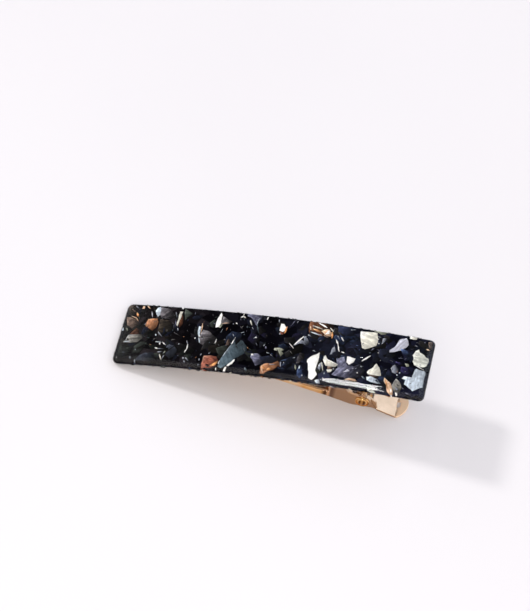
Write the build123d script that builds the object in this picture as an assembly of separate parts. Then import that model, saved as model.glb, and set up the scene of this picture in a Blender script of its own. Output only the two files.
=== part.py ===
"""Acetate barrette on a sprung alligator clip, in millimetres.

The barrette lies the way it is put down on a table. The left end of the bar and the bend of
the thumb lever touch the surface z = 0, and the bar rises to the right along +X. The user's
near side is -Y.

Every piece is drawn in the bar's own frame first: X along the bar's chord, Z out of its face,
and the origin under the middle of the bar's back. The last step turns the whole barrette
about Y into its resting pose.
"""

import os
from math import acos, atan2, cos, hypot, pi, sin, sqrt

from build123d import *

# Bar
BAR_LENGTH = 84.0
BAR_WIDTH = 19.5
BAR_THICK = 2.6
BAR_SAGITTA = 2.3
BAR_CORNER = 1.6
BAR_FACE_ROUND = 0.75
BAR_BACK_ROUND = 0.45

# Glue layer between the bar and the clip
GLUE = 0.15
GLUE_INSET = 0.5

# Sheet metal
SHEET = 0.6
FOLD_GAP = 0.08

# Upper jaw, the strip that is glued to the bar
STRIP_TIP_X = -27.0
STRIP_TIP_HALF = 3.1
STRIP_NECK_X = 10.0
STRIP_HALF = 4.7
STRIP_END_X = 33.0
STRIP_END_HALF = 4.1
EAR_LEFT_X = 15.4
EAR_NECK_RIGHT_X = 19.6
EAR_LOBE_R = 2.35

# Hinge
PIN_X = 24.2
PIN_Z = -11.9
PIN_R = 0.9
PIN_FIT = 0.02
HINGE_CLEARANCE = 0.05
PIN_HEAD_R = 1.95
PIN_HEAD_H = 0.62
PIN_DOME = 0.4

# Lower jaw and thumb lever
JAW_TIP_X = -26.0
JAW_TIP_HALF = 2.7
JAW_FULL_X = 12.0
INNER_LOBE_R = 2.15
FLANGE_END_X = 27.8
LEVER_HALF = 4.25
LEVER_START_X = 27.7
LEVER_ROOT_X = 26.4
LEVER_ROOT_Z = -15.3
LEVER_BEND_X = 32.5
LEVER_BEND_Z = -18.8
LEVER_BEND_HALF = 4.05
LEVER_TIP_X = 35.7
LEVER_TIP_Z = -18.35
LEVER_HOLE_X = 32.9
LEVER_HOLE_R = 0.5
LEVER_HOLE_LENGTH = 2.1
TEETH_FROM_X = -25.2
TEETH_TO_X = -14.8
TOOTH_PITCH = 1.3
TOOTH_DEPTH = 0.95
TOOTH_GAP = 0.1

# Spring
WIRE_R = 0.35
COIL_R = 1.6
COIL_PITCH = 0.8
COIL_WHOLE_TURNS = 4
LEG_GAP = 0.03
UPPER_KNEE_X = 29.4
UPPER_TAIL_X = 31.4
LOWER_KNEE_X = 27.0
LOWER_KNEE_Z = -14.1
LOWER_TAIL_X = 30.4

DEEP = 80.0

bar_radius = (BAR_LENGTH**2 / 4 + BAR_SAGITTA**2) / (2 * BAR_SAGITTA)


def arc_z(x, depth):
    """Height of the curve that lies a given depth under the bar's back."""
    return sqrt((bar_radius - depth) ** 2 - x**2) - bar_radius


def side_prism(points, half_width):
    """A closed outline in the XZ plane, thickened to both sides of Y = 0."""
    with BuildPart() as body:
        with BuildSketch(Plane.XZ):
            with BuildLine():
                Polyline(*points, close=True)
            make_face()
        extrude(amount=half_width, both=True)
    return body.part


def curved_slab(top_depth, bottom_depth, x_from, x_to, half_width):
    """A slab that follows the bar's curve between two depths under the bar's back."""
    steps = 2
    middle = (x_from + x_to) / steps
    with BuildPart() as body:
        with BuildSketch(Plane.XZ):
            with BuildLine():
                top = ThreePointArc(
                    (x_from, arc_z(x_from, top_depth)),
                    (middle, arc_z(middle, top_depth)),
                    (x_to, arc_z(x_to, top_depth)),
                )
                bottom = ThreePointArc(
                    (x_from, arc_z(x_from, bottom_depth)),
                    (middle, arc_z(middle, bottom_depth)),
                    (x_to, arc_z(x_to, bottom_depth)),
                )
                Line(top @ 0, bottom @ 0)
                Line(top @ 1, bottom @ 1)
            make_face()
        extrude(amount=half_width, both=True)
    return body.part


def plan_prism(points, radius, inset=0.0):
    """A rounded outline seen from above, made symmetric about Y = 0 and very deep in Z."""
    mirrored = [(x, -y) for x, y in reversed(points)]
    with BuildPart() as body:
        with BuildSketch(Plane.XY.offset(-DEEP / 2)) as outline:
            with BuildLine():
                Polyline(*points, *mirrored, close=True)
            make_face()
            fillet(outline.vertices(), radius)
            if inset:
                offset(amount=-inset, mode=Mode.REPLACE)
        extrude(amount=DEEP)
    return body.part


def cross_cylinder(x, z, radius, y_from, y_to):
    """A cylinder along Y."""
    base = Plane(origin=(x, y_from, z), x_dir=(1, 0, 0), z_dir=(0, 1, 0))
    return base * Cylinder(radius, y_to - y_from, align=(Align.CENTER, Align.CENTER, Align.MIN))


def rod(start, end, radius):
    """A straight round wire between two points."""
    way = Vector(*end) - Vector(*start)
    base = Plane(origin=start, z_dir=way)
    return base * Cylinder(radius, way.length, align=(Align.CENTER, Align.CENTER, Align.MIN))


def make_bar():
    slab = curved_slab(-BAR_THICK, 0, -BAR_LENGTH / 2 - 1, BAR_LENGTH / 2 + 1, BAR_WIDTH)
    outline = Box(BAR_LENGTH, BAR_WIDTH, DEEP)
    outline = fillet(outline.edges().filter_by(Axis.Z), BAR_CORNER)
    bar = slab & outline
    face = bar.faces().sort_by(Axis.Z)[-1]
    bar = fillet(face.edges(), BAR_FACE_ROUND)
    back = bar.faces().filter_by(GeomType.CYLINDER)
    back = [f for f in back if abs(f.center().X) < 1 and f.normal_at().Z < -0.9]
    return fillet(back[0].edges(), BAR_BACK_ROUND)


def strip_plan(inset=0.0):
    points = [
        (STRIP_TIP_X, STRIP_TIP_HALF),
        (STRIP_NECK_X, STRIP_HALF),
        (EAR_NECK_RIGHT_X + 1.5, STRIP_HALF),
        (STRIP_END_X, STRIP_END_HALF),
    ]
    return plan_prism(points, 1.4, inset)


def make_adhesive():
    slab = curved_slab(0, GLUE, STRIP_TIP_X, STRIP_END_X, STRIP_HALF)
    return slab & strip_plan(GLUE_INSET)


def make_upper_jaw():
    slab = curved_slab(GLUE, GLUE + SHEET, STRIP_TIP_X, STRIP_END_X, STRIP_HALF)
    jaw = slab & strip_plan()
    root_depth = GLUE + SHEET / 2
    outline = [
        (EAR_LEFT_X, arc_z(EAR_LEFT_X, root_depth)),
        (EAR_LEFT_X, -11.3),
        (EAR_LEFT_X + 0.5, -11.9),
        (PIN_X - 3.0, PIN_Z - 2.05),
        (PIN_X - 0.6, PIN_Z - 2.2),
        (PIN_X + 1.2, PIN_Z - 2.0),
        (PIN_X + EAR_LOBE_R - 0.3, PIN_Z - 1.0),
        (PIN_X + EAR_LOBE_R, PIN_Z),
        (PIN_X + 1.5, PIN_Z + 1.8),
        (PIN_X - 1.2, PIN_Z + 2.3),
        (EAR_NECK_RIGHT_X + 1.2, PIN_Z + 3.4),
        (EAR_NECK_RIGHT_X, PIN_Z + 6.0),
        (EAR_NECK_RIGHT_X, arc_z(EAR_NECK_RIGHT_X, root_depth)),
    ]
    ears = side_prism(outline, STRIP_HALF)
    lobe = cross_cylinder(PIN_X, PIN_Z, EAR_LOBE_R, -STRIP_HALF, STRIP_HALF)
    hollow = Box(DEEP, 2 * (STRIP_HALF - SHEET), DEEP)
    ears = (ears + lobe) - hollow
    bore = cross_cylinder(PIN_X, PIN_Z, PIN_R + PIN_FIT, -STRIP_HALF - 1, STRIP_HALF + 1)
    return jaw + ears - bore


def web_outline():
    """Side view of the lower jaw's web and thumb lever, as a closed strip of sheet."""
    outer = [
        (JAW_TIP_X, -3.15),
        (-18.0, -3.95),
        (-2.0, -7.4),
        (14.0, -12.15),
        (20.4, -14.85),
        (LEVER_ROOT_X, LEVER_ROOT_Z),
        (LEVER_BEND_X, LEVER_BEND_Z),
        (LEVER_TIP_X, LEVER_TIP_Z),
    ]
    with BuildPart() as web:
        with BuildSketch(Plane.XZ):
            with BuildLine():
                path = FilletPolyline(*outer, radius=1.1)
                offset(path, amount=SHEET, side=Side.LEFT)
            make_face()
        extrude(amount=LEVER_HALF + 1, both=True)
    return web.part


def flange_outline():
    """Side view of the lower jaw's two flanges, with the teeth left whole."""
    grip = GLUE + SHEET + TOOTH_GAP
    top = [
        (JAW_TIP_X, arc_z(JAW_TIP_X, grip)),
        (-20.0, arc_z(-20.0, grip)),
        (TEETH_TO_X, arc_z(TEETH_TO_X, grip)),
        (-13.0, -3.8),
        (-2.0, -5.8),
        (12.0, -9.8),
        (PIN_X - 4.0, PIN_Z + 0.9),
        (PIN_X - 1.2, PIN_Z + 2.0),
        (PIN_X + 1.2, PIN_Z + 1.8),
        (PIN_X + 3.3, PIN_Z - 0.5),
        (FLANGE_END_X, PIN_Z - 1.3),
        (FLANGE_END_X, -16.2),
    ]
    under = [
        (LEVER_ROOT_X, LEVER_ROOT_Z + 0.4),
        (20.5, -14.45),
        (14.1, -11.75),
        (-2.0, -7.0),
        (-18.0, -3.55),
        (JAW_TIP_X, -2.7),
    ]
    return side_prism(top + under, STRIP_HALF)


def jaw_plan(inset=0.0):
    width = STRIP_HALF - SHEET - FOLD_GAP
    points = [(JAW_TIP_X, JAW_TIP_HALF), (JAW_FULL_X, width), (FLANGE_END_X + 1.6, width)]
    return plan_prism(points, 0.9, inset)


def lever_plan():
    """The lever seen from above, a little wider than the flanges and round at its end."""
    start = LEVER_START_X
    with BuildPart() as body:
        with BuildSketch(Plane.XY.offset(-DEEP / 2)):
            with BuildLine():
                Polyline(
                    (LEVER_BEND_X + 0.4, LEVER_BEND_HALF),
                    (start, LEVER_HALF),
                    (start, -LEVER_HALF),
                    (LEVER_BEND_X + 0.4, -LEVER_BEND_HALF),
                )
                ThreePointArc(
                    (LEVER_BEND_X + 0.4, -LEVER_BEND_HALF),
                    (LEVER_TIP_X - 0.2, 0),
                    (LEVER_BEND_X + 0.4, LEVER_BEND_HALF),
                )
            make_face()
        extrude(amount=DEEP)
    return body.part


def teeth_cutter():
    """Notches across the tip, which leave a row of teeth on each flange."""
    grip = GLUE + SHEET + TOOTH_GAP
    notches = None
    x = TEETH_FROM_X
    while x < TEETH_TO_X:
        top = arc_z(x, grip)
        points = [
            (x - TOOTH_PITCH * 0.36, top + 0.3),
            (x, top - TOOTH_DEPTH),
            (x + TOOTH_PITCH * 0.36, top + 0.3),
        ]
        notch = side_prism(points, STRIP_HALF)
        notches = notch if notches is None else notches + notch
        x += TOOTH_PITCH
    return notches


def make_lower_jaw():
    web = web_outline()
    flanges = flange_outline() & jaw_plan()
    channel = (web & jaw_plan()) + (flanges - jaw_plan(SHEET))
    lever = web & lever_plan()
    jaw = channel + lever - teeth_cutter()
    lobes = cross_cylinder(PIN_X, PIN_Z, INNER_LOBE_R, -STRIP_HALF, STRIP_HALF)
    lobes = (lobes & jaw_plan()) - jaw_plan(SHEET)
    bore_r = PIN_R + HINGE_CLEARANCE
    jaw = jaw + lobes - cross_cylinder(PIN_X, PIN_Z, bore_r, -STRIP_HALF, STRIP_HALF)
    slot = Plane.XY.offset(-DEEP / 2) * extrude(
        Pos(LEVER_HOLE_X, 0) * SlotOverall(LEVER_HOLE_LENGTH, 2 * LEVER_HOLE_R, 90), DEEP
    )
    return jaw - slot


def make_pin():
    shank = cross_cylinder(PIN_X, PIN_Z, PIN_R, -STRIP_HALF, STRIP_HALF)
    head = cross_cylinder(PIN_X, PIN_Z, PIN_HEAD_R, STRIP_HALF, STRIP_HALF + PIN_HEAD_H)
    rim = head.edges().sort_by(Axis.Y)[-1]
    head = fillet(rim, PIN_DOME)
    return shank + head + mirror(head, about=Plane.XZ)


def make_spring():
    strip = GLUE + SHEET + WIRE_R + LEG_GAP
    upper_knee = (UPPER_KNEE_X, arc_z(UPPER_KNEE_X, strip))
    upper_tail = (UPPER_TAIL_X, arc_z(UPPER_TAIL_X, strip))
    lower_knee = (LOWER_KNEE_X, LOWER_KNEE_Z)
    rise = (LEVER_BEND_Z - LEVER_ROOT_Z) / (LEVER_BEND_X - LEVER_ROOT_X)
    above = (SHEET + WIRE_R + LEG_GAP) * hypot(1, rise)
    lower_tail = (LOWER_TAIL_X, LEVER_ROOT_Z + (LOWER_TAIL_X - LEVER_ROOT_X) * rise + above)

    start = tangent_angle(upper_knee, 1)
    stop = tangent_angle(lower_knee, -1) % (2 * pi)
    turns = COIL_WHOLE_TURNS + (stop - start) / (2 * pi)
    height = turns * COIL_PITCH
    frame = Plane(
        origin=(PIN_X, height / 2, PIN_Z),
        x_dir=(cos(start), 0, sin(start)),
        z_dir=(0, -1, 0),
    )
    coil_line = frame * Helix(COIL_PITCH, height, COIL_R)
    section = Plane(origin=coil_line @ 0, z_dir=coil_line % 0) * Circle(WIRE_R)
    spring = sweep(section, path=coil_line, is_frenet=True)

    for joint, leg in (
        (coil_line @ 0, (upper_knee, upper_tail)),
        (coil_line @ 1, (lower_knee, lower_tail)),
    ):
        spring += Pos(joint) * Sphere(WIRE_R)
        here = joint
        for x, z in leg:
            there = Vector(x, joint.Y, z)
            spring += rod(tuple(here), tuple(there), WIRE_R)
            spring += Pos(there) * Sphere(WIRE_R)
            here = there
    return mirror(spring, about=Plane.XZ)


def tangent_angle(end, side):
    """Where a straight leg to the given point leaves the coil's circle."""
    dx = end[0] - PIN_X
    dz = end[1] - PIN_Z
    return atan2(dz, dx) + side * acos(COIL_R / hypot(dx, dz))


def lowest(shape, turn):
    return (Rotation(0, -turn, 0) * shape).bounding_box().min.Z


def resting_turn(bar, lever):
    """The turn about Y that puts the bar's left end and the lever on one level."""
    low, high = 5.0, 20.0
    for _ in range(24):
        middle = (low + high) / 2
        if lowest(lever, middle) < lowest(bar, middle):
            low = middle
        else:
            high = middle
    return (low + high) / 2


pieces = {
    "acetate_plate": make_bar(),
    "adhesive": make_adhesive(),
    "upper_jaw": make_upper_jaw(),
    "lower_jaw": make_lower_jaw(),
    "hinge_pin": make_pin(),
    "torsion_spring": make_spring(),
}

turn = resting_turn(pieces["acetate_plate"], pieces["lower_jaw"])
turned = {name: Rotation(0, -turn, 0) * piece for name, piece in pieces.items()}
boxes = [piece.bounding_box() for piece in turned.values()]
left = min(box.min.X for box in boxes)
right = max(box.max.X for box in boxes)
floor = min(box.min.Z for box in boxes)
shift = Pos(-(left + right) / 2, 0, -floor)

os.makedirs("parts", exist_ok=True)
for name, piece in turned.items():
    export_step(shift * piece, f"parts/{name}.step")


def placed(x, z):
    """A point of the bar frame, in the resting pose."""
    point = shift * Rotation(0, -turn, 0) * Pos(x, 0, z)
    return tuple(round(v, 3) for v in point.position)


print("resting turn", round(turn, 3), "degrees")
print("bar radius", round(bar_radius, 2), "mm")
print("length", round(right - left, 2), "height", round(max(b.max.Z for b in boxes) - floor, 2))
print("hinge axis at", placed(PIN_X, PIN_Z))
print("bar frame origin at", placed(0, 0))
for name, piece in turned.items():
    box = (shift * piece).bounding_box()
    low = [round(v, 3) for v in box.min]
    high = [round(v, 3) for v in box.max]
    print(name, low, high, "volume", round(piece.volume, 2), "solids", len(piece.solids()))
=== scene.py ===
"""Looks of the acetate barrette on its gold alligator clip.

The bar is a clear gloss skin over a dark core, with pearl chips set between the two.
Lengths in the bar's own frame are in millimetres: x along the chord, y across, z out of the
face. `place` turns them into the resting pose in metres.
"""

import math
import random

import bmesh
import bpy
from mathutils import Matrix, Vector


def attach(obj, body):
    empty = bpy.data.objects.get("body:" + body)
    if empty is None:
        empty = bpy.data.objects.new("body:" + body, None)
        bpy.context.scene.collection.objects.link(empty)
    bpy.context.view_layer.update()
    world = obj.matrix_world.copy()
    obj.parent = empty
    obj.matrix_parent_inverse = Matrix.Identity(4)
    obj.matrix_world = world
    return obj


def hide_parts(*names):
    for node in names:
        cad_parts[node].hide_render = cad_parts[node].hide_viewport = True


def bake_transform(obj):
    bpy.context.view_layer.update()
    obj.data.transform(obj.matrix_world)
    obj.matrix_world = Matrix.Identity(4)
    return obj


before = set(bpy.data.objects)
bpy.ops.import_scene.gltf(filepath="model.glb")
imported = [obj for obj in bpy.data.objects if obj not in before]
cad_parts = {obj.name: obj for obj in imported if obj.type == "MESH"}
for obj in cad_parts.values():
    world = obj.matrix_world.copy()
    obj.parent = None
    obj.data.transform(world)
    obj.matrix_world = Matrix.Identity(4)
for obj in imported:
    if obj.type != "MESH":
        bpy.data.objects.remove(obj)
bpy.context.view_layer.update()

# The bar, as in the CAD but for its lower edge, which is rounder, and the roll of its face below
LENGTH, WIDTH, THICK = 84.0, 19.5, 2.6
SAGITTA = 2.3
CORNER, FACE_ROUND, BACK_ROUND = 1.6, 0.75, 0.8
RADIUS = (LENGTH**2 / 4 + SAGITTA**2) / (2 * SAGITTA)
TURN = math.radians(12.545)
ORIGIN = (-0.231, 0.0, 11.23)
MM = 0.001

# The hinge in the bar frame: its axis, the outer side of the ears, and about half the coil's length
PIN = (24.2, -11.9)
EAR_OUTSIDE = 4.7


def place(x, y, z):
    """A point of the bar frame in mm, as a point of the resting pose in metres."""
    c, s = math.cos(TURN), math.sin(TURN)
    return Vector(((c * x - s * z + ORIGIN[0]) * MM, y * MM, (s * x + c * z + ORIGIN[2]) * MM))


def arc(x, height):
    """Height of the curve that runs a given height above the bar's back."""
    return math.sqrt((RADIUS + height) ** 2 - x * x) - RADIUS


def new_object(name, mesh):
    obj = bpy.data.objects.new(name, mesh)
    bpy.context.collection.objects.link(obj)
    return obj


def smooth(obj):
    for face in obj.data.polygons:
        face.use_smooth = True


# ---------------------------------------------------------------- materials


def material(name):
    mat = bpy.data.materials.new(name)
    mat.use_nodes = True
    tree = mat.node_tree
    shader = tree.nodes["Principled BSDF"]
    return mat, tree, shader


def node(tree, kind, **inputs):
    made = tree.nodes.new(kind)
    for key, value in inputs.items():
        key = key.replace("_", " ")
        made.inputs[key].default_value = value
    return made


def ramp(tree, source, stops):
    made = tree.nodes.new("ShaderNodeValToRGB")
    elements = made.color_ramp.elements
    while len(elements) < len(stops):
        elements.new(0.5)
    for element, (position, colour) in zip(elements, stops):
        element.position = position
        element.color = (*colour, 1)
    tree.links.new(source, made.inputs["Fac"])
    return made.outputs["Color"]


def feed(tree, socket, value):
    """Links an output to the socket, or sets the socket to a colour or a number."""
    if isinstance(value, bpy.types.NodeSocket):
        tree.links.new(value, socket)
    elif isinstance(value, tuple):
        socket.default_value = (*value, 1)
    else:
        socket.default_value = value


def mix(tree, factor, a, b, blend="MIX"):
    made = tree.nodes.new("ShaderNodeMix")
    made.data_type = "RGBA"
    made.blend_type = blend
    # The Mix node has its factor and its two colours at these places
    for index, value in ((0, factor), (6, a), (7, b)):
        feed(tree, made.inputs[index], value)
    return made.outputs[2]


def maths(tree, operation, *values):
    made = tree.nodes.new("ShaderNodeMath")
    made.operation = operation
    for socket, value in zip(made.inputs, values):
        feed(tree, socket, value)
    return made.outputs[0]


def map_range(tree, source, **limits):
    """A value taken from From_Min..From_Max to To_Min..To_Max, each 0..1 unless given."""
    made = node(tree, "ShaderNodeMapRange", **limits)
    tree.links.new(source, made.inputs["Value"])
    return made.outputs[0]


def component(tree, vector, axis):
    made = tree.nodes.new("ShaderNodeSeparateXYZ")
    tree.links.new(vector, made.inputs[0])
    return made.outputs[axis]


def coordinates(tree, scale=(1, 1, 1), which="Object"):
    source = tree.nodes.new("ShaderNodeTexCoord")
    mapping = tree.nodes.new("ShaderNodeMapping")
    mapping.inputs["Scale"].default_value = scale
    tree.links.new(source.outputs[which], mapping.inputs["Vector"])
    return mapping.outputs["Vector"]


def noise_value(tree, vector, scale, detail=3.0, rough=0.55, distort=0.0):
    kind = "ShaderNodeTexNoise"
    made = node(tree, kind, Scale=scale, Detail=detail, Roughness=rough, Distortion=distort)
    tree.links.new(vector, made.inputs["Vector"])
    return made.outputs["Fac"]


def bump(tree, shader, height, strength, distance):
    made = node(tree, "ShaderNodeBump", Strength=strength, Distance=distance)
    tree.links.new(height, made.inputs["Height"])
    tree.links.new(made.outputs["Normal"], shader.inputs["Normal"])


def core_material():
    """The dark body: warm black at the low end, then neutral, then navy towards the raised end."""
    mat, tree, shader = material("acetate_core")
    where = coordinates(tree)
    along = map_range(tree, component(tree, where, "X"), From_Min=-0.041, From_Max=0.041)
    stops = [
        (0.0, (0.0110, 0.0092, 0.0105)), (0.16, (0.0200, 0.0165, 0.0190)),
        (0.33, (0.0045, 0.0045, 0.0075)), (0.50, (0.0030, 0.0030, 0.0060)),
        (0.66, (0.0210, 0.0240, 0.0440)), (0.84, (0.0100, 0.0112, 0.0250)),
        (1.0, (0.0064, 0.0072, 0.0180)),
    ]
    tone = ramp(tree, along, stops)
    cells = node(tree, "ShaderNodeTexVoronoi", Scale=420.0, Randomness=1.0)
    tree.links.new(where, cells.inputs["Vector"])
    shade = tree.nodes.new("ShaderNodeSeparateColor")
    tree.links.new(cells.outputs["Color"], shade.inputs[0])
    steps = [(0.0, (0.15, 0.15, 0.15)), (0.6, (0.8, 0.8, 0.8)), (1.0, (2.6, 2.6, 2.6))]
    tone = mix(tree, 1.0, tone, ramp(tree, shade.outputs[0], steps), "MULTIPLY")
    haze = noise_value(tree, where, 160.0, 4.0)
    tone = mix(tree, haze, tone, (0.0012, 0.0010, 0.0018))
    tree.links.new(tone, shader.inputs["Base Color"])
    shader.inputs["Roughness"].default_value = 0.5
    shader.inputs["Specular IOR Level"].default_value = 0.0
    return mat


def skin_material():
    """Clear polished skin: shows the chips and adds the gloss, with less of it on the long walls."""
    mat = bpy.data.materials.new("acetate_gloss")
    mat.use_nodes = True
    tree = mat.node_tree
    tree.nodes.clear()
    out = tree.nodes.new("ShaderNodeOutputMaterial")
    clear = tree.nodes.new("ShaderNodeBsdfTransparent")
    gloss = tree.nodes.new("ShaderNodeBsdfAnisotropic")
    gloss.inputs["Roughness"].default_value = 0.035

    facing = tree.nodes.new("ShaderNodeLayerWeight")
    steep = maths(tree, "POWER", facing.outputs["Facing"], 5.0)
    fresnel = map_range(tree, steep, To_Min=0.032, To_Max=1.0)
    flank = maths(tree, "ABSOLUTE", component(tree, coordinates(tree, which="Normal"), "Y"))
    sanded = map_range(tree, flank, From_Min=0.86, From_Max=0.985, To_Min=1.0, To_Max=0.22)
    sheen = maths(tree, "MULTIPLY", fresnel, sanded)

    waves = noise_value(tree, coordinates(tree), 60.0, 2.0)
    bump(tree, gloss, waves, 0.05, 0.0004)
    both = tree.nodes.new("ShaderNodeMixShader")
    tree.links.new(sheen, both.inputs[0])
    tree.links.new(clear.outputs[0], both.inputs[1])
    tree.links.new(gloss.outputs[0], both.inputs[2])
    tree.links.new(both.outputs[0], out.inputs["Surface"])
    return mat


def chip_material():
    """Pearl chips: the tone, with its painted highlight and painted shade, is painted on the mesh; the
    nacre grain runs along each chip.
    """
    mat, tree, shader = material("pearl_chip")
    tone = tree.nodes.new("ShaderNodeVertexColor")
    tone.layer_name = "tone"
    uv = tree.nodes.new("ShaderNodeUVMap")
    uv.uv_map = "grain"
    stretch = tree.nodes.new("ShaderNodeMapping")
    stretch.inputs["Scale"].default_value = (0.25, 1.5, 1.0)
    tree.links.new(uv.outputs[0], stretch.inputs[0])
    streak = noise_value(tree, stretch.outputs[0], 1.0, 5.0, 0.62, 0.6)
    cloud = noise_value(tree, uv.outputs[0], 0.8, 3.0)
    steps = [(0.34, (0.30, 0.30, 0.33)), (0.5, (0.85, 0.85, 0.86)), (0.66, (1.7, 1.7, 1.68))]
    fine = ramp(tree, streak, steps)
    steps = [(0.36, (0.25, 0.25, 0.28)), (0.5, (0.8, 0.8, 0.8)), (0.64, (1.35, 1.35, 1.35))]
    broad = ramp(tree, cloud, steps)
    calm = ramp(tree, streak, [(0.3, (0.90, 0.90, 0.88)), (0.6, (1.03, 1.03, 1.03))])
    lively = mix(tree, 1.0, fine, broad, "MULTIPLY")
    texture = mix(tree, tone.outputs["Alpha"], calm, lively)
    colour = mix(tree, 1.0, tone.outputs["Color"], texture, "MULTIPLY")
    tree.links.new(colour, shader.inputs["Base Color"])
    shader.inputs["Roughness"].default_value = 0.4
    shader.inputs["Specular IOR Level"].default_value = 0.04
    bump(tree, shader, streak, 0.12, 0.0002)
    return mat


# Where the gold changes along X, in metres: to the ear's side faces with painted shade, and to the
# lever's satin end
EAR_START = (0.0147, 0.0157)
LEVER_BEND = (0.0352, 0.0362)
# How far painted shade darkens the ear's side faces, as multiples of the gold
EAR_SIDE_SHADE = (0.50, 0.38, 0.28)
LEVER_END_TONE = (0.90, 0.66, 0.46)

# Painted reflections and shade: light and dark stripes on the plating's side faces along X, in mm and as
# multiples of its colour
JAW_PAINTED_REFLECTIONS = [
    (-6.0, (0.9, 0.7, 0.45)), (2.0, (1.0, 0.72, 0.35)), (5.0, (1.1, 1.05, 1.0)),
    (7.5, (1.15, 1.2, 1.35)), (10.0, (1.0, 0.75, 0.4)), (13.0, (1.2, 1.0, 0.7)),
    (14.8, (1.1, 0.8, 0.4)), (15.6, (0.25, 0.18, 0.14)), (16.1, (0.3, 0.2, 0.15)),
    (16.5, (1.9, 1.9, 1.9)), (16.9, (1.7, 1.6, 1.5)), (17.2, (0.35, 0.27, 0.2)),
    (17.8, (0.4, 0.3, 0.25)), (18.6, (1.0, 1.0, 1.0)), (40.0, (1.0, 1.0, 1.0)),
]
PIN_PAINTED_REFLECTIONS = [
    (24.0, (0.8, 0.6, 0.4)), (24.4, (1.25, 1.2, 1.2)), (24.9, (1.2, 1.1, 0.9)),
    (25.2, (0.2, 0.12, 0.08)), (25.5, (0.4, 0.3, 0.2)), (25.8, (1.2, 1.2, 1.1)),
    (26.1, (0.9, 0.8, 0.6)), (26.35, (0.15, 0.1, 0.08)), (26.7, (0.3, 0.2, 0.15)),
    (27.0, (1.2, 1.25, 1.4)), (27.4, (1.1, 0.9, 0.7)), (27.7, (0.2, 0.13, 0.1)),
    (27.9, (0.3, 0.2, 0.15)),
]
NO_PAINTED_REFLECTIONS = [(0.0, (1, 1, 1)), (1.0, (1, 1, 1))]


def gold_material(name, colour, bright, rough, grain, painted_reflections):
    """Plated sheet: faint rolling grain, a brighter, more orange tone towards low X as a painted
    reflection, painted shade on the side faces at the hinge, painted reflections and shade as light and
    dark stripes on the side faces, and a satin lever end.
    """
    mat, tree, shader = material(name)
    lines = noise_value(tree, coordinates(tree, scale=grain), 900.0, 4.0, 0.6)
    plain = coordinates(tree)
    x = component(tree, plain, "X")

    # Painted reflection: at low X, towards the jaw's front, the gold turns brighter and more orange,
    # standing for the lit floor it reflects
    towards_hinge = map_range(tree, x, From_Min=0.002, From_Max=0.0148)
    tone = mix(tree, towards_hinge, bright, colour)
    patch = noise_value(tree, plain, 210.0, 3.0)
    worn = ramp(tree, patch, [(0.35, (0.86, 0.85, 0.84)), (0.65, (1, 1, 1))])
    tone = mix(tree, 1.0, tone, worn, "MULTIPLY")

    # Painted shade: the ear's flat side faces are darkened, standing for the shadowed floor they reflect
    flank = maths(tree, "ABSOLUTE", component(tree, coordinates(tree, which="Normal"), "Y"))
    side_face = map_range(tree, flank, From_Min=0.75, From_Max=0.97)
    at_ear = map_range(tree, x, From_Min=EAR_START[0], From_Max=EAR_START[1])
    shaded_side = tuple(v * f for v, f in zip(colour, EAR_SIDE_SHADE))
    tone = mix(tree, maths(tree, "MULTIPLY", side_face, at_ear), tone, shaded_side)

    # Painted reflections and shade: the stripes lighten and darken the side faces along X
    first, last = painted_reflections[0][0], painted_reflections[-1][0]
    along = map_range(tree, x, From_Min=first * MM, From_Max=last * MM)
    reflection_stripes = ramp(tree, along, [((at - first) / (last - first), shade) for at, shade in painted_reflections])
    tone = mix(tree, 1.0, tone, mix(tree, side_face, (1, 1, 1), reflection_stripes), "MULTIPLY")

    satin = map_range(tree, x, From_Min=LEVER_BEND[0], From_Max=LEVER_BEND[1])
    tone = mix(tree, satin, tone, LEVER_END_TONE)
    tree.links.new(tone, shader.inputs["Base Color"])
    metal = map_range(tree, satin, To_Min=1.0, To_Max=0.12)
    tree.links.new(metal, shader.inputs["Metallic"])
    limits = {"From_Min": 0.3, "From_Max": 0.7, "To_Min": rough * 0.75, "To_Max": rough * 1.5}
    polish = map_range(tree, lines, **limits)
    tree.links.new(maths(tree, "MULTIPLY_ADD", satin, 0.25, polish), shader.inputs["Roughness"])
    bump(tree, shader, lines, 0.10, 0.00004)
    return mat


def glue_material():
    mat, tree, shader = material("clear_epoxy")
    where = coordinates(tree)
    cloud = noise_value(tree, where, 500.0, 4.0)
    tone = ramp(tree, cloud, [(0.3, (0.42, 0.40, 0.33)), (0.7, (0.62, 0.60, 0.52))])
    tree.links.new(tone, shader.inputs["Base Color"])
    shader.inputs["Roughness"].default_value = 0.16
    bump(tree, shader, cloud, 0.3, 0.0002)
    return mat


CORE = core_material()
SKIN = skin_material()
CHIP = chip_material()
ROLLED, EVEN = (0.12, 1, 1), (1, 1, 1)
PIN_TONE, WIRE_TONE = (0.98, 0.64, 0.28), (0.86, 0.70, 0.48)
GOLD = gold_material("gold_plate", (0.88, 0.66, 0.47), (1.0, 0.66, 0.32), 0.12, ROLLED, JAW_PAINTED_REFLECTIONS)
GOLD_PIN = gold_material("gold_pin", PIN_TONE, PIN_TONE, 0.08, EVEN, PIN_PAINTED_REFLECTIONS)
WIRE = gold_material("spring_wire", WIRE_TONE, WIRE_TONE, 0.2, EVEN, NO_PAINTED_REFLECTIONS)
GLUE = glue_material()


# ---------------------------------------------------------------- the bar


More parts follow.
